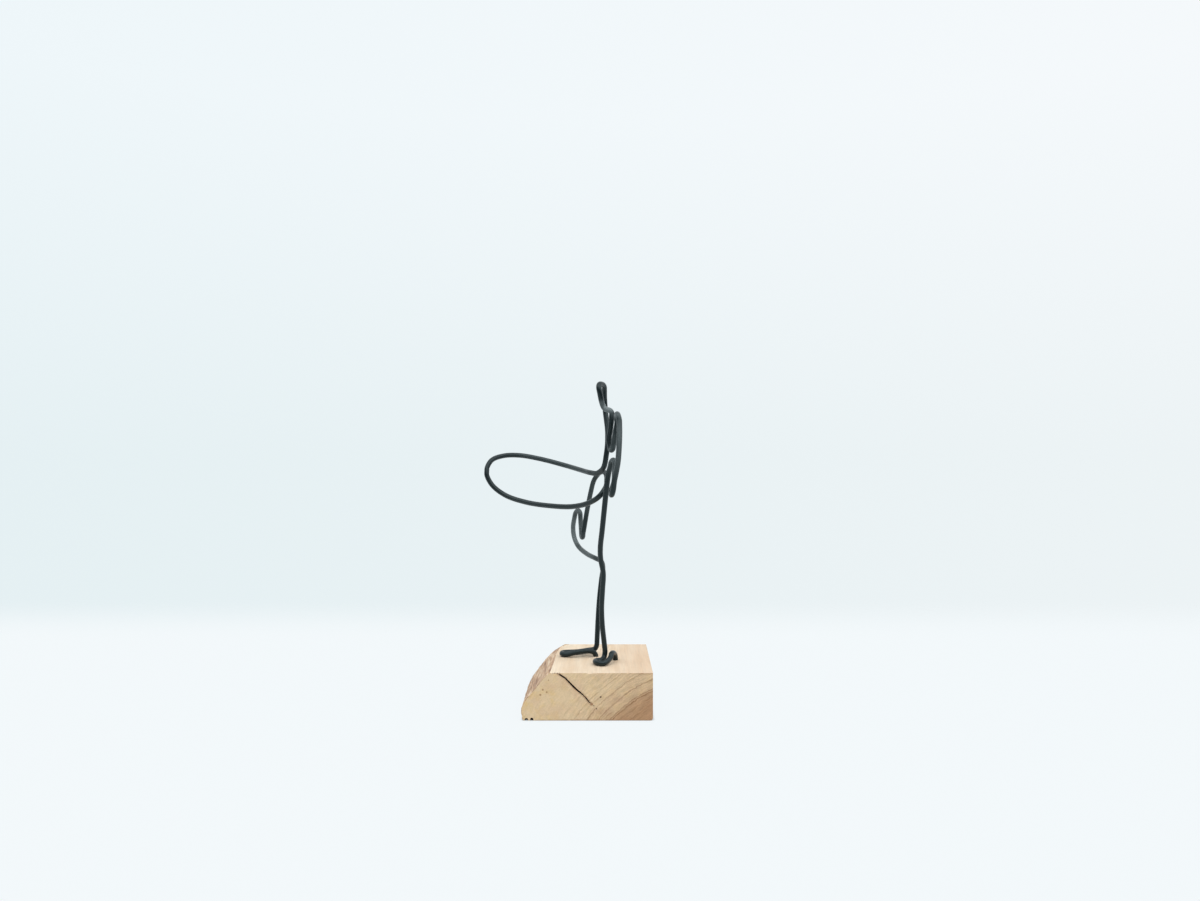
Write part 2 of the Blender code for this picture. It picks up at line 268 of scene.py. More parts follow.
def workWire(wire, places):
    # hand-worked surface: an uneven coating, and a section that a tight bend squashes
    frames = lineFrames(places)
    nearest = kdtree.KDTree(len(places))
    for index, place in enumerate(places):
        nearest.insert(place, index)
    nearest.balance()
    wireSpace, bends = [], []
    for vert in wire.data.vertices:
        place = vert.co / mm
        middle, index, _ = nearest.find(place)
        along, direction, side, bend = frames[index]
        outward = place - middle
        across = outward - direction * outward.dot(direction)
        radius = across.length
        if radius < 1e-6:
            wireSpace.append((along, 0.0, 0.0))
            bends.append(0.0)
            continue
        across.normalize()
        upright = direction.cross(side)
        local = Vector((across.dot(side), across.dot(upright)))
        tightness = min(bend.length * wireFigure["gauge"] / 2, 1.0)
        inward = across.dot(bend.normalized()) if bend.length > 1e-6 else 0.0
        slow = noise.noise(Vector((along * 0.11, local.x * 0.7, local.y * 0.7)))
        quick = noise.noise(Vector((along * 0.6, local.x * 1.6 + 9.0, local.y * 1.6)))
        swell = wireFigure["unevenness"] * (slow + 0.4 * quick - 0.6)
        oval = wireFigure["ovalInBends"] * tightness * (0.35 - inward ** 2)
        flat = -wireFigure["flatOutside"] * tightness * max(-inward, 0.0) ** 3
        vert.co = (place + across * radius * (swell + oval + flat)) * mm
        wireSpace.append((along, *(local * (wireFigure["gauge"] / 2))))
        bends.append(tightness)
    # the grey patches carry painted highlights as well as handling wear
    for name, patches in (("coatingWearAndHighlight", wearAndHighlightPlaces), ("coatingDull", dullPlaces),
                          ("coatingGloss", glossyPlaces)):
        storeFloats(wire, name, [patchShare(vert.co / mm, patches) for vert in wire.data.vertices])
    storeVectors(wire, "wireSpace", wireSpace)
    storeFloats(wire, "bendTightness", bends)
    makeActive(wire)
    bpy.ops.object.shade_smooth()


wire, wirePlaces = bendWire()
workWire(wire, wirePlaces)
print("wire bent:", len(wire.data.polygons), "faces")


# The block
blockLow, blockHigh = (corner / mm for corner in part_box("wooden_base"))
woodBlock = {
    "cuts": (112, 122, 64),          # grid of the carved faces, along X, Y and Z
    "footRound": 1.6,                # the long lower edge at +X
    "arris": 0.18,                   # the other sawn edges
    # height of the waney side, and how far it stands in from the block's outermost line
    "waney": ((0.0, 1.15), (1.2, 0.5), (4.1, 0.05), (6.6, 0.2), (8.7, 1.2), (10.8, 2.5), (13.6, 4.9),
              (16.6, 7.6), (20.6, 10.5), (22.5, 12.4), (24.3, 14.5)),
    "taper": 2.8,                    # how far its upper edge draws in from the front to the back
    "taperHeight": 18.0,
    "backTurn": 2.1,                 # how far all of it turns in at the back
    "backTurnStart": 0.72,
    "wornCorner": 0.8,               # how low the upper back corner is worn
    "pith": (60.0, -45.0),           # the tree's middle, as x and z
    "barkDepth": 0.75,               # between the bark's ridges and its furrows
    "endRelief": 0.07,
    "faceRelief": 0.06,
    "socketRadius": 1.53,
    "socketDepth": 8.3,
    "checkDepth": 11.0,
    "surface": 0.05,                 # how near a point has to be to count as on a face
}
# the check in the end grain, as x and z from its mouth by the upper edge, and how wide it gapes
checkLine = [(-14.9, 23.8), (-14.0, 23.3), (-11.3, 21.6), (-9.2, 19.4), (-6.8, 17.0), (-4.9, 15.2),
             (-2.8, 13.5), (-1.8, 12.7), (-0.7, 11.3), (0.8, 9.5), (2.1, 8.3)]
checkWidths = [0.2, 0.85, 0.85, 0.9, 0.95, 0.85, 0.8, 0.4, 0.65, 0.65, 0.1]
# holes in the end grain and nicks in its upper edge: x, z, width, height, depth
pinHoles = [(6.7, 12.0, 1.25, 0.8, 0.9), (3.3, 7.5, 0.7, 0.55, 0.8), (4.6, 6.0, 0.75, 0.7, 1.0),
            (-31.3, 0.45, 1.8, 1.6, 3.5), (-28.6, 0.65, 1.6, 1.7, 3.0),
            (-18.0, 24.1, 0.7, 0.5, 0.5), (-16.7, 24.25, 0.8, 0.5, 0.7), (-15.5, 24.2, 0.7, 0.6, 0.6),
            (-14.3, 24.3, 0.6, 0.5, 0.5)]
# brown specks in the end grain: x, z, radius
brownSpecks = [(-22.9, 15.7, 0.65), (-20.9, 14.5, 0.6), (-24.2, 13.1, 0.65), (-20.0, 20.6, 0.4)]
# bites out of the upper front edge beside the bark: x, size, depth
edgeChips = [(-17.9, 0.9, 0.55), (-16.5, 0.8, 0.6), (-15.2, 0.9, 0.5), (-13.6, 0.7, 0.35), (-11.6, 0.6, 0.25)]


def waneyInset(height, depthShare):
    steps = woodBlock["waney"]
    inset = steps[-1][1]
    for (low, lowInset), (high, highInset) in zip(steps, steps[1:]):
        if height <= high:
            inset = mix(lowInset, highInset, max(height - low, 0.0) / (high - low))
            break
    raised = max((height - woodBlock["taperHeight"]) / (blockHigh.z - woodBlock["taperHeight"]), 0.0)
    far = max((depthShare - woodBlock["backTurnStart"]) / (1 - woodBlock["backTurnStart"]), 0.0)
    return inset + woodBlock["taper"] * depthShare * raised ** 1.5 + woodBlock["backTurn"] * far ** 1.5


def roughBlock():
    middle = (blockLow + blockHigh) / 2
    size = blockHigh - blockLow
    deselectAll()
    bpy.ops.mesh.primitive_cube_add(size=1, location=middle * mm, scale=size * mm)
    block = bpy.context.object
    block.name = block.data.name = "waneyBlock"
    bpy.ops.object.transform_apply(location=True, rotation=True, scale=True)
    low, high = blockLow * mm, blockHigh * mm
    near = 0.2 * mm
    edgesWhere(block, lambda a, b: min(a.x, b.x) > high.x - near and max(a.z, b.z) < low.z + near)
    bpy.ops.mesh.bevel(offset=woodBlock["footRound"] * mm, segments=6, affect="EDGES")
    bpy.ops.object.mode_set(mode="OBJECT")

    def sawnEdge(a, b):
        upper = min(a.z, b.z) > high.z - near
        right = min(a.x, b.x) > high.x - near
        front = max(a.y, b.y) < low.y + near
        back = min(a.y, b.y) > high.y - near
        return (upper and (right or front or back)) or (right and (front or back))

    edgesWhere(block, sawnEdge)
    bpy.ops.mesh.bevel(offset=woodBlock["arris"] * mm, segments=2, affect="EDGES")
    bpy.ops.object.mode_set(mode="OBJECT")
    for axis, cuts in enumerate(woodBlock["cuts"]):
        least = size[axis] * mm * 0.8
        edgesWhere(block, lambda a, b: abs(a[axis] - b[axis]) > least)
        bpy.ops.mesh.subdivide(number_cuts=cuts)
        bpy.ops.object.mode_set(mode="OBJECT")
    return block


def ringRadius(place):
    # distance from the pith, in millimetres, with the rings' slow wander
    pithX, pithZ = woodBlock["pith"]
    wander = noise.noise(Vector((place.x * 0.05, place.y * 0.01, place.z * 0.05))) * 1.6
    return hypot(place.x - pithX, place.z - pithZ) + wander


def barkFurrow(place):
    # 0 on the bark's ridges and 1 in its furrows, drawn out along the grain
    drawn = Vector((place.z * 0.20, place.y * 0.035, 3.0))
    broad = noise.fractal(drawn, 0.9, 2.1, 4)
    fine = noise.fractal(Vector((place.z * 0.75, place.y * 0.09, 8.0)), 0.7, 2.2, 3)
    flakes = noise.noise(Vector((place.z * 0.45, place.y * 0.16, 21.0)))
    return min(max(0.45 + 0.55 * broad + 0.3 * fine + 0.25 * flakes, 0.0), 1.0)


def checkGap(place):
    # how far a place on the end grain lies from the check
    spot = Vector((place.x, place.z))
    gap = 99.0
    for start, end in zip(checkLine, checkLine[1:]):
        start, end = Vector(start), Vector(end)
        share = min(max((spot - start).dot(end - start) / (end - start).length_squared, 0.0), 1.0)
        gap = min(gap, (spot - start.lerp(end, share)).length)
    return gap


def carveBlock(block):
    # presses the left side in to the waney outline, and gives every face its own relief
    low, high = blockLow, blockHigh
    width, depth = high.x - low.x, high.y - low.y
    surface = woodBlock["surface"]
    bark, checkShadeAndStain = [], []
    for vert in block.data.vertices:
        place = vert.co / mm
        acrossShare = (high.x - place.x) / width
        depthShare = (place.y - low.y) / depth
        onBark = acrossShare > 0.9995
        frontGap, backGap = place.y - low.y, high.y - place.y
        topGap, footGap, rightGap = high.z - place.z, place.z - low.z, high.x - place.x
        move = Vector((0.0, 0.0, 0.0))
        radius = ringRadius(place)
        if frontGap < surface or backGap < surface:
            grain = noise.fractal(Vector((radius * 1.3, place.y, 5.0)), 0.8, 2.0, 3)
            saw = noise.noise(Vector((place.x * 0.25 + place.z * 0.1, place.z * 2.0, 4.0)))
            sunk = woodBlock["endRelief"] * min(max(0.5 + 0.4 * grain + 0.25 * saw, 0.0), 1.0)
            move.y = sunk if frontGap < surface else -sunk
        if topGap < surface or footGap < surface:
            grain = noise.fractal(Vector((place.x * 0.7, place.y * 0.03, radius * 0.3)), 0.8, 2.0, 3)
            sunk = woodBlock["faceRelief"] * min(max(0.5 + 0.6 * grain, 0.0), 1.0)
            move.z = -sunk if topGap < surface else sunk
            if topGap < surface:
                move.z -= woodBlock["wornCorner"] * depthShare ** 2 * ease(0.90, 1.0, acrossShare)
        if rightGap < surface:
            grain = noise.fractal(Vector((place.z * 0.7, place.y * 0.03, 11.0)), 0.8, 2.0, 3)
            move.x = -woodBlock["faceRelief"] * min(max(0.5 + 0.6 * grain, 0.0), 1.0)
        for x, size, bite in edgeChips:
            gap = hypot(place.x - x - acrossShare * waneyInset(place.z, depthShare), frontGap, topGap)
            if gap < size:
                ragged = 0.7 + 0.5 * noise.noise(place * 1.7)
                fade = 1 - (gap / size) ** 2
                move += Vector((0.0, 0.6, -1.0)) * bite * fade * ragged
        place += move
        inset = waneyInset(place.z, depthShare)
        place.x += acrossShare * inset
        if onBark:
            slope = waneyInset(place.z + 0.5, depthShare) - waneyInset(place.z - 0.5, depthShare)
            inward = Vector((1.0, 0.0, -slope)).normalized()
            edgeFade = 1.0 - 0.5 * (1 - ease(0.0, 1.5, min(footGap, frontGap, backGap)))
            place += inward * (woodBlock["barkDepth"] * barkFurrow(place) * edgeFade)
            place.z = max(place.z, low.z)
        bark.append(1.0 if onBark else 0.0)
        # nearness to the check, for its browning and the painted shade in its mouth
        checkShadeAndStain.append(1 - ease(0.35, 1.0, checkGap(place)) if frontGap < surface else 0.0)
        vert.co = place * mm
    storeFloats(block, "barkMask", bark)
    storeFloats(block, "checkMouthShadeAndStain", checkShadeAndStain)


def checkCutter():
    # a thin blade bent along the check, wide at the face and closed inside the wood
    run = len(checkLine) - 1
    deselectAll()
    bpy.ops.mesh.primitive_cube_add(size=1, location=(0.5 * run, 0, 0), scale=(run, 1, 1))
    blade = bpy.context.object
    bpy.ops.object.transform_apply(location=True, rotation=True, scale=True)
    cuts = run * 4 - 1
    edgesWhere(blade, lambda a, b: abs(a.x - b.x) > 0.8 * run)
    bpy.ops.mesh.subdivide(number_cuts=cuts)
    bpy.ops.object.mode_set(mode="OBJECT")
    for vert in blade.data.vertices:
        step = min(int(vert.co.x + 1e-4), run - 1)
        share = vert.co.x - step
        x = mix(checkLine[step][0], checkLine[step + 1][0], share)
        z = mix(checkLine[step][1], checkLine[step + 1][1], share)
        gape = mix(checkWidths[step], checkWidths[step + 1], share) / 2
        ragged = noise.noise(Vector((x * 1.9, vert.co.z * 3.0, 2.0))) * 0.16
        inside = vert.co.y > 0
        side = (1.0 if vert.co.z > 0 else -1.0) * (0.03 if inside else gape + ragged * 0.5)
        reach = woodBlock["checkDepth"] if inside else -1.0
        vert.co = Vector((x + 0.66 * side + ragged * 0.4, blockLow.y + reach,
                          z + 0.75 * side + ragged * 0.4)) * mm
    return blade


def pinCutter(x, z, width, height, depth):
    deselectAll()
    bpy.ops.mesh.primitive_cone_add(vertices=14, radius1=0.5, radius2=0.28, depth=1.0,
                                    location=(x * mm, (blockLow.y + depth / 2 - 0.15) * mm, z * mm),
                                    rotation=(radians(-90), 0, 0),
                                    scale=(width * mm, height * mm, (depth + 0.3) * mm))
    pin = bpy.context.object
    bpy.ops.object.transform_apply(location=True, rotation=True, scale=True)
    for vert in pin.data.vertices:
        place = vert.co / mm
        ragged = Vector((noise.noise(place * 1.3), 0, noise.noise(place * 1.1 + Vector((5, 5, 5)))))
        vert.co += ragged * 0.18 * width * mm
    return pin


def socketCutter(end):
    depth = woodBlock["socketDepth"]
    deselectAll()
    bpy.ops.mesh.primitive_cylinder_add(vertices=32, radius=woodBlock["socketRadius"] * mm,
                                        depth=(depth + 2.0) * mm,
                                        location=(end.x * mm, end.y * mm,
                                                  (blockHigh.z - depth / 2 + 1.0) * mm))
    socket = bpy.context.object
    bpy.ops.object.transform_apply(location=True, rotation=True, scale=True)
    return socket


def hollowBlock(block, shadeForHollows):
    # cuts the check, the pin holes and the wire's two sockets, and gives their walls a near-black painted
    # shade
    cutters = [checkCutter(), socketCutter(wireRoute[0]), socketCutter(wireRoute[-1])]
    cutters += [pinCutter(*pin) for pin in pinHoles]
    for cutter in cutters:
        makeActive(cutter)
        bpy.ops.object.mode_set(mode="EDIT")
        bpy.ops.mesh.select_all(action="SELECT")
        bpy.ops.mesh.normals_make_consistent(inside=False)
        bpy.ops.object.mode_set(mode="OBJECT")
        # the cut walls take the near-black painted shade
        cutter.data.materials.append(shadeForHollows)
    deselectAll()
    for cutter in cutters:
        cutter.select_set(True)
    bpy.context.view_layer.objects.active = cutters[0]
    bpy.ops.object.join()
    cutter = bpy.context.object
    makeActive(block)
    cut = block.modifiers.new("hollows", "BOOLEAN")
    cut.operation = "DIFFERENCE"
    cut.solver = "EXACT"
    cut.use_self = True
    cut.material_mode = "TRANSFER"
    cut.object = cutter
    bpy.ops.object.modifier_apply(modifier=cut.name)
    bpy.data.objects.remove(cutter)


block = roughBlock()
carveBlock(block)
print("block carved:", len(block.data.polygons), "faces")


# Node helpers
def feed(tree, socket, value):
    if isinstance(value, bpy.types.NodeSocket):
        tree.links.new(value, socket)
    else:
        socket.default_value = value


def addNode(tree, kind, values=None, **settings):
    made = tree.nodes.new(kind)
    for name, value in settings.items():
        setattr(made, name, value)
    for name, value in (values or {}).items():
        feed(tree, made.inputs[name], value)
    return made


def calc(tree, operation, *terms, clamp=False):
    made = addNode(tree, "ShaderNodeMath", operation=operation, use_clamp=clamp)
    for socket, term in zip(made.inputs, terms):
        feed(tree, socket, term)
    return made.outputs[0]


def vectorCalc(tree, operation, *terms, output=0):
    made = addNode(tree, "ShaderNodeVectorMath", operation=operation)
    for socket, term in zip(made.inputs, terms):
        feed(tree, socket, term)
    return made.outputs[output]


def blendColor(tree, share, first, second, kind="MIX"):
    made = addNode(tree, "ShaderNodeMix", data_type="RGBA", blend_type=kind)
    feed(tree, made.inputs[0], share)
    feed(tree, made.inputs[6], first)
    feed(tree, made.inputs[7], second)
    return made.outputs[2]


def cloud(tree, place, scale, detail=3.0, roughness=0.55):
    made = addNode(tree, "ShaderNodeTexNoise", {"Vector": place, "Scale": scale, "Detail": detail,
                                                "Roughness": roughness})
    return made.outputs[0]


def stretch(tree, value, low, high, toLow=0.0, toHigh=1.0):
    made = addNode(tree, "ShaderNodeMapRange", {"Value": value, "From Min": low, "From Max": high,
                                                "To Min": toLow, "To Max": toHigh})
    return made.outputs[0]


def ramp(tree, value, stops, interpolation="LINEAR"):
    made = addNode(tree, "ShaderNodeValToRGB")
    made.color_ramp.interpolation = interpolation
    elements = made.color_ramp.elements
    while len(elements) > 1:
        elements.remove(elements[-1])
    elements[0].position, elements[0].color = stops[0][0], stops[0][1]
    for position, color in stops[1:]:
        elements.new(position).color = color
    feed(tree, made.inputs[0], value)
    return made.outputs[0]


def grey(value):
    return (value, value, value, 1.0)


def newGroup(name, inputs, outputs):
    # a shader node group with the named sockets, and its input and output nodes
    tree = bpy.data.node_groups.new(name, "ShaderNodeTree")
    for label, kind in inputs:
        tree.interface.new_socket(label, in_out="INPUT", socket_type=kind)
    for label, kind in outputs:
        tree.interface.new_socket(label, in_out="OUTPUT", socket_type=kind)
    return tree, tree.nodes.new("NodeGroupInput"), tree.nodes.new("NodeGroupOutput")


def useGroup(tree, group, **values):
    made = addNode(tree, "ShaderNodeGroup")
    made.node_tree = group
    for name, value in values.items():
        feed(tree, made.inputs[name], value)
    return made.outputs


def newMaterial(name):
    material = bpy.data.materials.new(name)
    material.use_nodes = True
    tree = material.node_tree
    return material, tree, tree.nodes["Principled BSDF"]


def objectMillimetres(tree):
    place = addNode(tree, "ShaderNodeTexCoord").outputs["Object"]
    return vectorCalc(tree, "SCALE", place, (0, 0, 0), (0, 0, 0), 1 / mm)


# Dust lies on what faces up, in soft patches
def makeDustGroup():
    tree, given, out = newGroup("settledDust", [("Place", "NodeSocketVector"), ("Amount", "NodeSocketFloat")],
                                [("Mask", "NodeSocketFloat")])
    normal = addNode(tree, "ShaderNodeNewGeometry").outputs["Normal"]
    up = addNode(tree, "ShaderNodeSeparateXYZ", {"Vector": normal}).outputs["Z"]
    facing = stretch(tree, up, 0.35, 1.0)
    patches = stretch(tree, cloud(tree, given.outputs["Place"], 0.35, 4.0), 0.35, 0.75)
    specks = stretch(tree, cloud(tree, given.outputs["Place"], 2.6, 2.0), 0.6, 0.72)
    spread = calc(tree, "ADD", patches, calc(tree, "MULTIPLY", specks, 0.6))
    mask = calc(tree, "MULTIPLY", calc(tree, "MULTIPLY", facing, spread), given.outputs["Amount"], clamp=True)
    tree.links.new(mask, out.inputs["Mask"])
    return tree


# Growth rings, heartwood, fibres and pores, from one place in the tree
ringLines = (59.9, 63.0, 65.8, 66.8, 71.0, 75.8, 80.8)      # distance from the pith
ringStrengths = (0.45, 0.5, 1.0, 0.85, 0.7, 0.65, 0.5)
rampStart, rampEnd = 55.0, 95.0


def makeGrainGroup():
    tree, given, out = newGroup("treeGrain", [("Place", "NodeSocketVector")],
                                [("Rings", "NodeSocketFloat"), ("Streaks", "NodeSocketFloat"),
                                 ("Heart", "NodeSocketFloat"), ("Fibres", "NodeSocketFloat"),
                                 ("Pores", "NodeSocketFloat")])
    place = given.outputs["Place"]
    slowPlace = vectorCalc(tree, "MULTIPLY", place, (1.0, 0.12, 1.0))
    pithX, pithZ = woodBlock["pith"]
    offset = vectorCalc(tree, "SUBTRACT", place, (pithX, 0.0, pithZ))
    distance = vectorCalc(tree, "LENGTH", vectorCalc(tree, "MULTIPLY", offset, (1.0, 0.0, 1.0)), output=1)
    slow = calc(tree, "MULTIPLY_ADD", cloud(tree, slowPlace, 0.06, 1.0), 2.4, -1.2)
    quick = calc(tree, "MULTIPLY_ADD", cloud(tree, slowPlace, 0.5, 2.0), 1.5, -0.75)
    radius = calc(tree, "ADD", distance, calc(tree, "ADD", slow, quick))
    stops = [(0.0, grey(0.0))]
    for line, strength in zip(ringLines, ringStrengths):
        for shift, share in ((-0.40, 0.0), (-0.12, 1.0), (0.06, 0.9), (0.28, 0.0)):
            stops.append(((line + shift - rampStart) / (rampEnd - rampStart), grey(strength * share)))
    rings = ramp(tree, stretch(tree, radius, rampStart, rampEnd), stops)
    fade = stretch(tree, cloud(tree, slowPlace, 0.2, 3.0), 0.35, 0.55, 0.5, 1.0)
    # thin uneven lines all the way out
    thinLines = addNode(tree, "ShaderNodeCombineXYZ", {"X": calc(tree, "MULTIPLY", radius, 0.62)})
    thin = stretch(tree, cloud(tree, vectorCalc(tree, "ADD", thinLines.outputs[0],
                                                vectorCalc(tree, "MULTIPLY", slowPlace, (0.05, 0.1, 0.05))),
                               1.0, 2.0, 0.7), 0.60, 0.68, 0.0, 0.45)
    outward = stretch(tree, distance, 92.0, 78.0)
    both = calc(tree, "MAXIMUM", rings, calc(tree, "MULTIPLY", thin, outward))
    tree.links.new(calc(tree, "MULTIPLY", both, fade), out.inputs["Rings"])
    # fine layers between the rings, drawn out along them
    parts = addNode(tree, "ShaderNodeSeparateXYZ", {"Vector": place})
    alongRing = calc(tree, "MULTIPLY", calc(tree, "ADD", parts.outputs["X"], parts.outputs["Z"]), 0.1)
    layers = addNode(tree, "ShaderNodeCombineXYZ", {"X": calc(tree, "MULTIPLY", radius, 1.35), "Y": alongRing,
                                                    "Z": calc(tree, "MULTIPLY", parts.outputs["Y"], 0.03)})
    tree.links.new(cloud(tree, layers.outputs[0], 1.0, 3.0, 0.6), out.inputs["Streaks"])
    heartNoise = calc(tree, "MULTIPLY_ADD", cloud(tree, slowPlace, 0.12, 3.0), 6.0, -3.0)
    heartNear = stretch(tree, calc(tree, "ADD", radius, heartNoise), 80.0, 60.0)
    heartEdge = stretch(tree, radius, 67.2, 65.4)
    heart = calc(tree, "ADD", calc(tree, "MULTIPLY", heartNear, 0.65),
                 calc(tree, "MULTIPLY", heartEdge, 0.35))
    tree.links.new(heart, out.inputs["Heart"])
    fibrePlace = vectorCalc(tree, "MULTIPLY", place, (1.5, 0.05, 1.5))
    tree.links.new(cloud(tree, fibrePlace, 1.0, 5.0, 0.65), out.inputs["Fibres"])
    porePlace = vectorCalc(tree, "MULTIPLY", place, (2.3, 0.16, 2.3))
    pores = addNode(tree, "ShaderNodeTexVoronoi", {"Vector": porePlace, "Scale": 1.0}).outputs["Distance"]
    tree.links.new(stretch(tree, pores, 0.22, 0.1), out.inputs["Pores"])
    return tree


dustGroup = makeDustGroup()
grainGroup = makeGrainGroup()

satinBlack = {
    "coating": (0.0040, 0.0080, 0.0090, 1.0),
    "rubbed": (0.015, 0.023, 0.025, 1.0),
    "wearAndHighlight": (0.20, 0.23, 0.235, 1.0),
    "dust": (0.28, 0.29, 0.29, 1.0),
    "roughness": (0.27, 0.40),
    "dullRise": 0.4,           # roughness added where it is dull
    "glossDrop": -0.22,
    "specular": 0.38,
    "specularTint": (0.80, 0.97, 1.0, 1.0),
}


def makeSatinBlack():
    material, tree, shader = newMaterial("satinBlackCoating")
    space = addNode(tree, "ShaderNodeAttribute", attribute_name="wireSpace").outputs["Vector"]
    bend = addNode(tree, "ShaderNodeAttribute", attribute_name="bendTightness").outputs["Fac"]
    drawn = vectorCalc(tree, "MULTIPLY", space, (0.12, 1.4, 1.4))
    streaks = cloud(tree, drawn, 1.0, 4.0, 0.6)
    mottle = cloud(tree, space, 0.8, 4.0)
    rubbedBend = calc(tree, "MULTIPLY", bend, stretch(tree, mottle, 0.4, 0.7))
    rubbed = calc(tree, "ADD", calc(tree, "MULTIPLY", stretch(tree, streaks, 0.5, 0.8), 0.5),
                  calc(tree, "MULTIPLY", rubbedBend, 0.7), clamp=True)
    color = blendColor(tree, rubbed, satinBlack["coating"], satinBlack["rubbed"])
    # grey patches: handling wear, and painted highlights on the strands the light falls on
    wearAndHighlight = addNode(tree, "ShaderNodeAttribute", attribute_name="coatingWearAndHighlight").outputs["Fac"]
    wearAndHighlightShare = calc(tree, "MULTIPLY", wearAndHighlight, stretch(tree, streaks, 0.3, 0.7, 0.75, 1.2), clamp=True)
    color = blendColor(tree, wearAndHighlightShare, color, satinBlack["wearAndHighlight"])
    dust = useGroup(tree, dustGroup, Place=space, Amount=0.05)["Mask"]
    feed(tree, shader.inputs["Base Color"], blendColor(tree, dust, color, satinBlack["dust"]))
    low, high = satinBlack["roughness"]
    dull = addNode(tree, "ShaderNodeAttribute", attribute_name="coatingDull").outputs["Fac"]
    gloss = addNode(tree, "ShaderNodeAttribute", attribute_name="coatingGloss").outputs["Fac"]
    roughness = calc(tree, "MULTIPLY_ADD", dull, satinBlack["dullRise"],
                     stretch(tree, mottle, 0.3, 0.7, low, high))
    roughness = calc(tree, "MULTIPLY_ADD", gloss, satinBlack["glossDrop"], roughness)
    feed(tree, shader.inputs["Roughness"], roughness)
    shader.inputs["Specular IOR Level"].default_value = satinBlack["specular"]
    shader.inputs["Specular Tint"].default_value = satinBlack["specularTint"]
    orangePeel = cloud(tree, space, 3.2, 3.0)
    height = calc(tree, "ADD", calc(tree, "MULTIPLY", orangePeel, 0.5), calc(tree, "MULTIPLY", streaks, 0.5))
    bump = addNode(tree, "ShaderNodeBump", {"Height": height, "Strength": 0.25, "Distance": 0.06 * mm})
    feed(tree, shader.inputs["Normal"], bump.outputs["Normal"])
    return material


paleWood = {
    "sapwood": (0.675, 0.510, 0.320, 1.0),
    "straw": (0.66, 0.460, 0.200, 1.0),
    "pink": (0.61, 0.415, 0.270, 1.0),
    "heart": (0.37, 0.195, 0.095, 1.0),
    "ringBrown": (0.22, 0.105, 0.045, 1.0),
    "stainAndFootShade": (0.40, 0.22, 0.125, 1.0),
    "speck": (0.26, 0.125, 0.05, 1.0),
    "checkShadeBrown": (0.20, 0.065, 0.025, 1.0),
    "longFace": (0.735, 0.605, 0.455, 1.0),
    "longPink": (0.665, 0.505, 0.350, 1.0),
    "pore": (0.30, 0.19, 0.11, 1.0),
    "barkLight": (0.61, 0.435, 0.290, 1.0),
    "barkTan": (0.47, 0.290, 0.175, 1.0),
    "barkDark": (0.20, 0.093, 0.050, 1.0),
    "barkGrey": (0.36, 0.220, 0.145, 1.0),
    "dust": (0.80, 0.78, 0.74, 1.0),
    "hollowShade": (0.010, 0.0035, 0.002, 1.0),
    "hollowShadeFibre": (0.045, 0.015, 0.007, 1.0),
}
# brown stains in the end grain, and last a painted contact shade along its foot: x, z, half width, half
# height, strength
stainsAndFootShade = [(7.0, 3.6, 7.0, 4.2, 0.55), (26.0, 23.9, 11.0, 0.9, 0.5), (32.5, 6.0, 3.0, 9.0, 0.4),
              (2.0, 0.1, 40.0, 0.75, 1.3)]


def spot(tree, place, x, z, width, height, soft):
    # 1 inside an oval in the end grain's plane, fading outwards
    gap = vectorCalc(tree, "SUBTRACT", place, (x, 0.0, z))
    scaled = vectorCalc(tree, "MULTIPLY", gap, (1 / width, 0.0, 1 / height))
    size = vectorCalc(tree, "LENGTH", scaled, output=1)
    return stretch(tree, size, 1.0, 1.0 - soft)


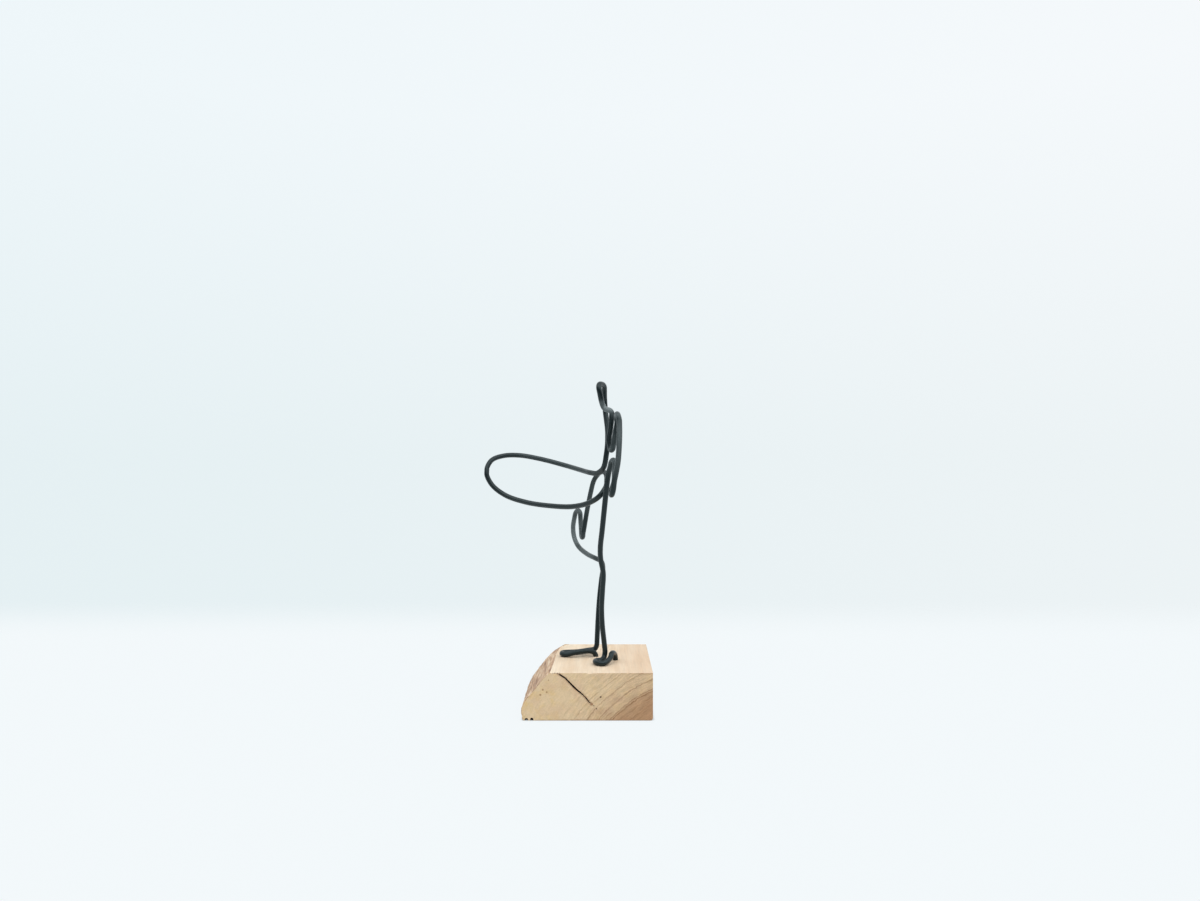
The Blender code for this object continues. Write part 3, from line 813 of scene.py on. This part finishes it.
def makePaleWood():
    material, tree, shader = newMaterial("paleSawnWood")
    place = objectMillimetres(tree)
    grain = useGroup(tree, grainGroup, Place=place)
    normal = addNode(tree, "ShaderNodeNewGeometry").outputs["Normal"]
    facing = addNode(tree, "ShaderNodeSeparateXYZ", {"Vector": normal})
    endGrain = stretch(tree, calc(tree, "ABSOLUTE", facing.outputs["Y"]), 0.6, 0.9)
    slowPlace = vectorCalc(tree, "MULTIPLY", place, (1.0, 0.15, 1.0))
    across = addNode(tree, "ShaderNodeSeparateXYZ", {"Vector": place}).outputs["X"]
    strawPatches = stretch(tree, cloud(tree, slowPlace, 0.25, 4.0), 0.45, 0.70)
    pinkPatches = stretch(tree, cloud(tree, vectorCalc(tree, "ADD", slowPlace, (40.0, 0.0, 17.0)), 0.16, 3.0),
                          0.45, 0.70)
    lowLeft = calc(tree, "MULTIPLY", stretch(tree, across, -8.0, -34.0, 0.35, 0.9), strawPatches)
    color = blendColor(tree, lowLeft, paleWood["sapwood"], paleWood["straw"])
    color = blendColor(tree, calc(tree, "MULTIPLY", pinkPatches, 0.5), color, paleWood["pink"])
    # the long faces are paler and pinker than the end grain
    longPatches = stretch(tree, cloud(tree, slowPlace, 0.16, 2.0), 0.4, 0.65)
    longTone = blendColor(tree, longPatches, paleWood["longFace"], paleWood["longPink"])
    longTone = blendColor(tree, stretch(tree, across, 0.0, 34.0, 0.0, 0.45), longTone, paleWood["pink"])
    color = blendColor(tree, endGrain, longTone, color)
    heartShare = calc(tree, "MULTIPLY", grain["Heart"], stretch(tree, endGrain, 0.0, 1.0, 0.25, 0.85))
    color = blendColor(tree, heartShare, color, paleWood["heart"])
    ragged = calc(tree, "MULTIPLY_ADD", cloud(tree, slowPlace, 0.5, 4.0), 1.6, -0.3)
    # the last oval, a low band along the foot of the end grain, is painted contact shade where the block
    # meets the floor
    for x, z, width, height, strength in stainsAndFootShade:
        share = calc(tree, "MULTIPLY", spot(tree, place, x, z, width, height, 0.8),
                     calc(tree, "MULTIPLY", ragged, strength), clamp=True)
        color = blendColor(tree, calc(tree, "MULTIPLY", share, endGrain), color, paleWood["stainAndFootShade"])
    fibres = stretch(tree, grain["Fibres"], 0.3, 0.7, 0.90, 1.06)
    layered = stretch(tree, grain["Streaks"], 0.34, 0.66, 0.80, 1.10)
    layerShare = calc(tree, "MULTIPLY", endGrain, stretch(tree, across, -14.0, 8.0, 0.35, 1.0))
    layered = calc(tree, "ADD", 1.0, calc(tree, "MULTIPLY", layerShare, calc(tree, "SUBTRACT", layered, 1.0)))
    tone = calc(tree, "MULTIPLY", fibres, layered)
    tone = addNode(tree, "ShaderNodeCombineColor", {"Red": tone, "Green": tone, "Blue": tone}).outputs[0]
    color = blendColor(tree, 1.0, color, tone, "MULTIPLY")
    ringShare = calc(tree, "MULTIPLY", grain["Rings"], stretch(tree, endGrain, 0.0, 1.0, 0.12, 0.9))
    color = blendColor(tree, ringShare, color, paleWood["ringBrown"])
    poreShare = calc(tree, "MULTIPLY", grain["Pores"], stretch(tree, endGrain, 0.0, 1.0, 0.08, 0.16))
    color = blendColor(tree, poreShare, color, paleWood["pore"])
    # browned wood along the check, with painted shade darkening the check's mouth
    checkShadeAndStain = addNode(tree, "ShaderNodeAttribute", attribute_name="checkMouthShadeAndStain").outputs["Fac"]
    color = blendColor(tree, calc(tree, "MULTIPLY", checkShadeAndStain, 0.85), color, paleWood["checkShadeBrown"])
    for x, z, radius in brownSpecks:
        share = calc(tree, "MULTIPLY", spot(tree, place, x, z, radius, radius, 0.6), endGrain)
        color = blendColor(tree, calc(tree, "MULTIPLY", share, 0.8), color, paleWood["speck"])
    # bark, with a dark broken line where it meets the wood
    mask = addNode(tree, "ShaderNodeAttribute", attribute_name="barkMask").outputs["Fac"]
    barkPlace = vectorCalc(tree, "MULTIPLY", place, (0.9, 0.045, 0.9))
    streaks = cloud(tree, barkPlace, 1.0, 6.0, 0.65)
    patches = cloud(tree, vectorCalc(tree, "MULTIPLY", place, (0.2, 0.07, 0.2)), 1.0, 3.0)
    barkTone = ramp(tree, calc(tree, "MULTIPLY_ADD", patches, 0.35, calc(tree, "MULTIPLY", streaks, 0.75)),
                    [(0.42, paleWood["barkDark"]), (0.49, paleWood["barkGrey"]), (0.54, paleWood["barkTan"]),
                     (0.61, paleWood["barkLight"]), (0.70, paleWood["longFace"])])
    wavy = calc(tree, "MULTIPLY_ADD", cloud(tree, place, 0.9, 3.0), 0.5, -0.25)
    barkEdge = stretch(tree, calc(tree, "ADD", mask, wavy), 0.45, 0.75)
    color = blendColor(tree, barkEdge, color, barkTone)
    rim = calc(tree, "MULTIPLY", stretch(tree, mask, 0.12, 0.4), stretch(tree, mask, 0.95, 0.6))
    rimPlace = vectorCalc(tree, "MULTIPLY", place, (1.0, 0.3, 1.0))
    broken = stretch(tree, cloud(tree, rimPlace, 0.8, 3.0), 0.46, 0.56)
    rimShare = calc(tree, "MULTIPLY", calc(tree, "MULTIPLY", rim, broken), 0.75)
    color = blendColor(tree, rimShare, color, paleWood["speck"])
    dust = useGroup(tree, dustGroup, Place=place, Amount=0.05)["Mask"]
    color = blendColor(tree, dust, color, paleWood["dust"])
    feed(tree, shader.inputs["Base Color"], color)
    feed(tree, shader.inputs["Roughness"], stretch(tree, grain["Fibres"], 0.3, 0.7, 0.62, 0.82))
    shader.inputs["Specular IOR Level"].default_value = 0.3
    height = calc(tree, "SUBTRACT", calc(tree, "MULTIPLY", grain["Fibres"], 0.6),
                  calc(tree, "MULTIPLY", grain["Pores"], 0.5))
    bump = addNode(tree, "ShaderNodeBump", {"Height": height, "Strength": 0.25, "Distance": 0.1 * mm})
    feed(tree, shader.inputs["Normal"], bump.outputs["Normal"])
    return material


# near-black walls for the check, the pin holes, the nicks and the sockets: painted shade, and in the check
# dark staining too
def makeHollowShade():
    material, tree, shader = newMaterial("paintedShadeInHollows")
    place = objectMillimetres(tree)
    grain = useGroup(tree, grainGroup, Place=place)
    color = blendColor(tree, grain["Fibres"], paleWood["hollowShade"], paleWood["hollowShadeFibre"])
    feed(tree, shader.inputs["Base Color"], color)
    feed(tree, shader.inputs["Roughness"], stretch(tree, grain["Fibres"], 0.3, 0.7, 0.8, 0.95))
    return material


wire.data.materials.clear()
wire.data.materials.append(makeSatinBlack())
block.data.materials.clear()
block.data.materials.append(makePaleWood())
hollowBlock(block, makeHollowShade())
makeActive(block)
bpy.ops.object.shade_smooth_by_angle(angle=radians(38))
print("block hollowed:", len(block.data.polygons), "faces")

for piece, node, slotName in ((wire, "wire_figure", "black_coated_wire"),
                              (block, "wooden_base", "pale_sawn_wood")):
    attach(piece, "root")
    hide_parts(node)


# Floor, light and camera
studio = {
    "wall": (0.815, 0.885, 0.905),
    "wallHigh": (0.885, 0.935, 0.960),
    "wallTilt": (0.050, 0.020, 0.014),       # brightening from left to right
    "roomDark": (0.12, 0.135, 0.14),         # the unlit side behind the viewer
    "softbox": (2.35, 2.38, 2.40),           # the wide light over and in front of the figure
    "floorGlow": (0.855, 0.900, 0.920, 1.0),
    "floorTint": (0.03, 0.03, 0.03, 1.0),
    "floorSize": 1.4,
    "floorFade": (0.16, 0.34),               # where the floor melts into the backdrop, along Y
    "cameraPlace": (6.66, -478.2, 135.76),   # the camera looks level along +Y
    "cameraLens": 26.01,
    "cameraShift": (-0.000417, 0.004167),
}


def makeFloor():
    deselectAll()
    bpy.ops.mesh.primitive_circle_add(vertices=96, radius=studio["floorSize"], fill_type="NGON")
    floor = bpy.context.object
    floor.name = "studioFloor"
    material, tree, shader = newMaterial("paleFloor")
    place = addNode(tree, "ShaderNodeTexCoord").outputs["Object"]
    back = addNode(tree, "ShaderNodeSeparateXYZ", {"Vector": place}).outputs["Y"]
    start, end = studio["floorFade"]
    shown = addNode(tree, "ShaderNodeMapRange", {"Value": back, "From Min": start, "From Max": end,
                                                 "To Min": 1.0, "To Max": 0.0},
                    interpolation_type="SMOOTHSTEP").outputs[0]
    # painted contact shadow: the floor's glow dims where the block and the wire stand close over it
    contactShade = addNode(tree, "ShaderNodeAmbientOcclusion", {"Distance": 2.5 * mm}, samples=8).outputs["AO"]
    feed(tree, shader.inputs["Base Color"], studio["floorTint"])
    feed(tree, shader.inputs["Emission Color"], studio["floorGlow"])
    feed(tree, shader.inputs["Emission Strength"], stretch(tree, contactShade, 0.1, 0.8, 0.12, 1.0))
    feed(tree, shader.inputs["Alpha"], shown)
    shader.inputs["Roughness"].default_value = 0.9
    shader.inputs["Specular IOR Level"].default_value = 0.0
    floor.data.materials.append(material)


def makeLight():
    world = bpy.data.worlds.new("studioAir")
    bpy.context.scene.world = world
    world.use_nodes = True
    tree = world.node_tree
    place = addNode(tree, "ShaderNodeTexCoord").outputs["Generated"]
    side = addNode(tree, "ShaderNodeSeparateXYZ", {"Vector": place})
    wall = blendColor(tree, stretch(tree, side.outputs["Z"], 0.0, 0.36), (*studio["wall"], 1.0),
                      (*studio["wallHigh"], 1.0))
    tilt = vectorCalc(tree, "SCALE", studio["wallTilt"], (0, 0, 0), (0, 0, 0), side.outputs["X"])
    wall = vectorCalc(tree, "ADD", wall, tilt)
    # behind the viewer the room is dark up to the softbox, and a little less so on the right
    height = calc(tree, "ADD", side.outputs["Z"], calc(tree, "MULTIPLY", side.outputs["X"], 0.12))
    raised = addNode(tree, "ShaderNodeMapRange", {"Value": height, "From Min": 0.25, "From Max": 0.65},
                     interpolation_type="SMOOTHSTEP").outputs[0]
    room = blendColor(tree, raised, (*studio["roomDark"], 1.0), (*studio["softbox"], 1.0))
    behind = addNode(tree, "ShaderNodeMapRange",
                     {"Value": side.outputs["Y"], "From Min": 0.3, "From Max": -0.35},
                     interpolation_type="SMOOTHSTEP").outputs[0]
    lit = blendColor(tree, behind, wall, room)
    # the camera sees the pale wall all the way round
    seen = addNode(tree, "ShaderNodeLightPath").outputs["Is Camera Ray"]
    feed(tree, tree.nodes["Background"].inputs["Color"], blendColor(tree, seen, lit, wall))


def makeCamera():
    deselectAll()
    bpy.ops.object.camera_add(location=Vector(studio["cameraPlace"]) * mm, rotation=(radians(90), 0, 0))
    camera = bpy.context.object
    camera.name = "frontCamera"
    camera.data.sensor_width = 36.0
    camera.data.lens = studio["cameraLens"]
    camera.data.shift_x, camera.data.shift_y = studio["cameraShift"]
    camera.data.clip_start = 0.01
    bpy.context.scene.camera = camera


makeFloor()
makeLight()
makeCamera()
bpy.context.scene.view_settings.view_transform = "Standard"
print("studio ready")
